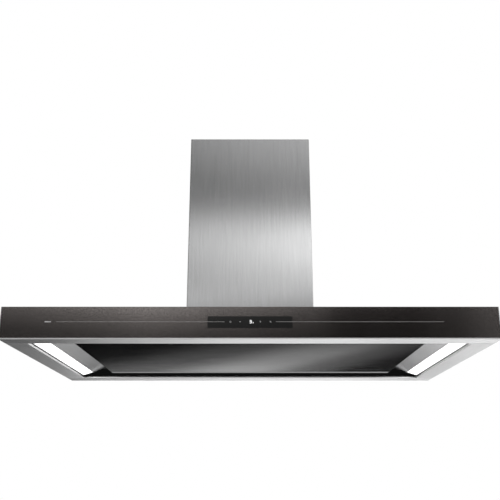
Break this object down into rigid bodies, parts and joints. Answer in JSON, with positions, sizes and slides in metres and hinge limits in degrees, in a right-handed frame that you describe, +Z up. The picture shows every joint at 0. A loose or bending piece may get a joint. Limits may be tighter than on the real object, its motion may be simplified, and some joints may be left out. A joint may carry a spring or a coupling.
{
  "type": "island range hood",
  "caption": "Ceiling-hung island range hood: shallow rectangular canopy with dark glass facia, perimeter-suction panel and side lamps under a telescoping steel chimney.",
  "frame": {"origin": "centre of the ceiling plate's top face, where the hood meets the ceiling", "axes": "+Z up into the ceiling, X along the canopy's width, the controls face -Y"},
  "size_m": [1.2, 0.7, 0.64],
  "materials": {
    "brushed_steel": "fine brushed stainless sheet",
    "galvanised_steel": "zinc-coated structural sheet",
    "bright_fasteners": "bright zinc-plated steel",
    "facia_glass": "back-painted dark glass, gloss",
    "suction_glass": "back-painted black glass, gloss",
    "dark_paint": "satin black powder coat",
    "lamp_aluminium": "anodised extrusion",
    "filter_aluminium": "expanded aluminium mesh in a folded rim",
    "opal_diffuser": "opal acrylic, lit",
    "circuit_board": "solder-masked board",
    "rubber": "moulded rubber",
    "motor_paint": "black electro-coated can",
    "black_plastic": "moulded black plastic",
    "magnet": "nickel-plated magnet block"
  },
  "bodies": {
    "ceiling_frame": {"ceiling_plate": "galvanised_steel", "upper_upright_front_left": "galvanised_steel", "upper_upright_front_right": "galvanised_steel", "upper_upright_rear_left": "galvanised_steel", "upper_upright_rear_right": "galvanised_steel", "upper_brace_ring": "galvanised_steel", "upper_cover_front": "brushed_steel", "upper_cover_rear": "brushed_steel", "upper_cover_screws": "bright_fasteners"},
    "hood": {"lower_upright_front_left": "galvanised_steel", "lower_upright_front_right": "galvanised_steel", "lower_upright_rear_left": "galvanised_steel", "lower_upright_rear_right": "galvanised_steel", "frame_base_ring": "galvanised_steel", "frame_bolts": "bright_fasteners", "height_clamp_bolts": "bright_fasteners", "lower_cover_front": "brushed_steel", "lower_cover_rear": "brushed_steel", "lower_cover_screws": "bright_fasteners", "canopy_shell": "brushed_steel", "front_glass": "facia_glass", "rear_glass": "facia_glass", "flange_front": "brushed_steel", "flange_rear": "brushed_steel", "flange_left": "brushed_steel", "flange_right": "brushed_steel", "inner_panel_left": "brushed_steel", "inner_panel_right": "brushed_steel", "suction_channel_front": "dark_paint", "suction_channel_rear": "dark_paint", "filter_tray": "galvanised_steel", "led_housing_left": "lamp_aluminium", "led_housing_right": "lamp_aluminium", "led_board_left": "circuit_board", "led_board_right": "circuit_board", "led_diffuser_left": "opal_diffuser", "led_diffuser_right": "opal_diffuser", "blower_deck": "galvanised_steel", "blower_housing": "galvanised_steel", "blower_grommets": "rubber", "blower_motor": "motor_paint", "outlet_spigot": "black_plastic", "hinge_brackets": "galvanised_steel", "hinge_pins": "bright_fasteners", "panel_magnets": "magnet", "power_box": "black_plastic", "cable_gland": "black_plastic", "touch_board": "circuit_board"},
    "suction_panel": {"suction_glass": "suction_glass", "suction_pan": "galvanised_steel"},
    "filter_left": {"filter_frame_left": "filter_aluminium", "filter_mesh_left": "filter_aluminium"},
    "filter_latch_left": {"filter_latch_left": "bright_fasteners"},
    "filter_right": {"filter_frame_right": "filter_aluminium", "filter_mesh_right": "filter_aluminium"},
    "filter_latch_right": {"filter_latch_right": "bright_fasteners"},
    "impeller": {"impeller": "black_plastic", "motor_shaft": "bright_fasteners"},
    "damper_front": {"damper_flap_front": "black_plastic"},
    "damper_rear": {"damper_flap_rear": "black_plastic"}
  },
  "joints": [
    {"name": "height_slide", "type": "slide", "parent": "ceiling_frame", "child": "hood", "axis": [0, 0, -1], "range_m": [0, 0.3]},
    {"name": "panel_hinge", "type": "hinge", "parent": "hood", "child": "suction_panel", "pos_m": [0, 0.2445, -0.6205], "axis": [1, 0, 0], "range_deg": [0, 85]},
    {"name": "filter_left_tilt", "type": "hinge", "parent": "hood", "child": "filter_left", "pos_m": [-0.2, 0.156, -0.595], "axis": [1, 0, 0], "range_deg": [0, 42.5]},
    {"name": "filter_latch_left_slide", "type": "slide", "parent": "filter_left", "child": "filter_latch_left", "axis": [0, 1, 0], "range_m": [0, 0.005], "stiffness_N_per_m": 400, "springref_m": -0.002},
    {"name": "filter_right_tilt", "type": "hinge", "parent": "hood", "child": "filter_right", "pos_m": [0.2, 0.156, -0.595], "axis": [1, 0, 0], "range_deg": [0, 42.5]},
    {"name": "filter_latch_right_slide", "type": "slide", "parent": "filter_right", "child": "filter_latch_right", "axis": [0, 1, 0], "range_m": [0, 0.005], "stiffness_N_per_m": 400, "springref_m": -0.002},
    {"name": "impeller_spin", "type": "hinge", "parent": "hood", "child": "impeller", "pos_m": [0, -0.042, -0.44], "axis": [1, 0, 0], "continuous": true},
    {"name": "damper_front_hinge", "type": "hinge", "parent": "hood", "child": "damper_front", "pos_m": [0, 0, -0.285], "axis": [-1, 0, 0], "range_deg": [0, 75]},
    {"name": "damper_rear_hinge", "type": "hinge", "parent": "hood", "child": "damper_rear", "pos_m": [0, 0, -0.285], "axis": [1, 0, 0], "range_deg": [0, 75]}
  ],
  "couplings": [
    {"joint": "filter_left_tilt", "follows": "panel_hinge", "ratio": 0.5},
    {"joint": "filter_right_tilt", "follows": "panel_hinge", "ratio": 0.5}
  ]
}
